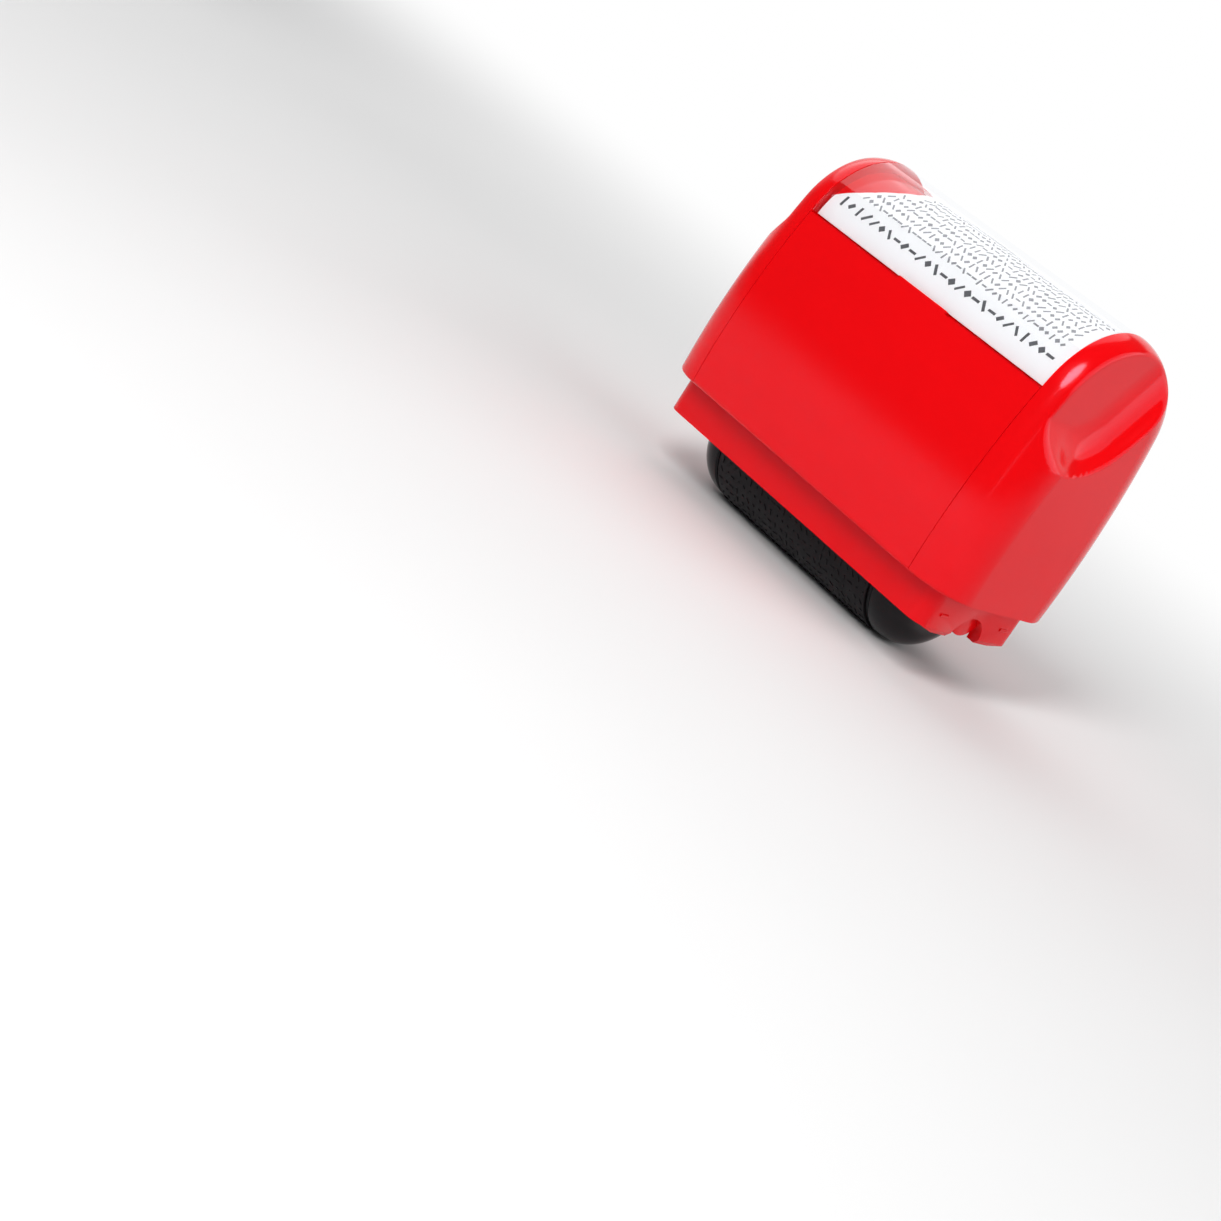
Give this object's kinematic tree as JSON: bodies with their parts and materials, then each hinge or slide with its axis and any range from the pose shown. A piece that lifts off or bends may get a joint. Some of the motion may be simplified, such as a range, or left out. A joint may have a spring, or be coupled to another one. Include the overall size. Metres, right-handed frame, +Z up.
{
  "type": "privacy roller stamp",
  "caption": "Hand-held privacy roller stamp: a red arch-topped housing with a clear label window over a slide-out frame with a black printing roller.",
  "frame": {"origin": "under the middle of the roller, on the surface that the roller stands on", "axes": "+X along the roller to the right end, -Y the front with the pry tab of the window, +Z up"},
  "size_m": [0.072, 0.036, 0.0633],
  "materials": {
    "red_plastic": "glossy moulded, soft studio reflections",
    "clear_plastic": "clear, polished",
    "card": "white printed card",
    "steel": "ground bright",
    "natural_plastic": "natural, unpigmented",
    "foam": "open-pored foam soaked with ink",
    "rubber": "fine-pored, dull",
    "black_plastic": "glossy"
  },
  "bodies": {
    "housing": {"outer_shell": "red_plastic", "front_panel": "red_plastic", "rear_panel": "red_plastic", "window_cover": "clear_plastic", "label_card": "card"},
    "cartridge": {"roller_frame": "red_plastic", "axle": "steel", "thrust_washer_left": "steel", "thrust_washer_right": "steel"},
    "roller": {"roller_core": "natural_plastic", "ink_foam": "foam", "print_sleeve": "rubber", "ink_plug": "natural_plastic", "roller_cap_left": "black_plastic", "roller_cap_right": "black_plastic", "bush_left": "natural_plastic", "bush_right": "natural_plastic", "seal_ring_left": "rubber", "seal_ring_right": "rubber"}
  },
  "joints": [
    {"name": "cartridge_slide", "type": "slide", "parent": "housing", "child": "cartridge", "axis": [0, 0, -1], "range_m": [0, 0.018]},
    {"name": "roller_spin", "type": "hinge", "parent": "cartridge", "child": "roller", "pos_m": [0, 0, 0.012], "axis": [1, 0, 0], "continuous": true}
  ]
}
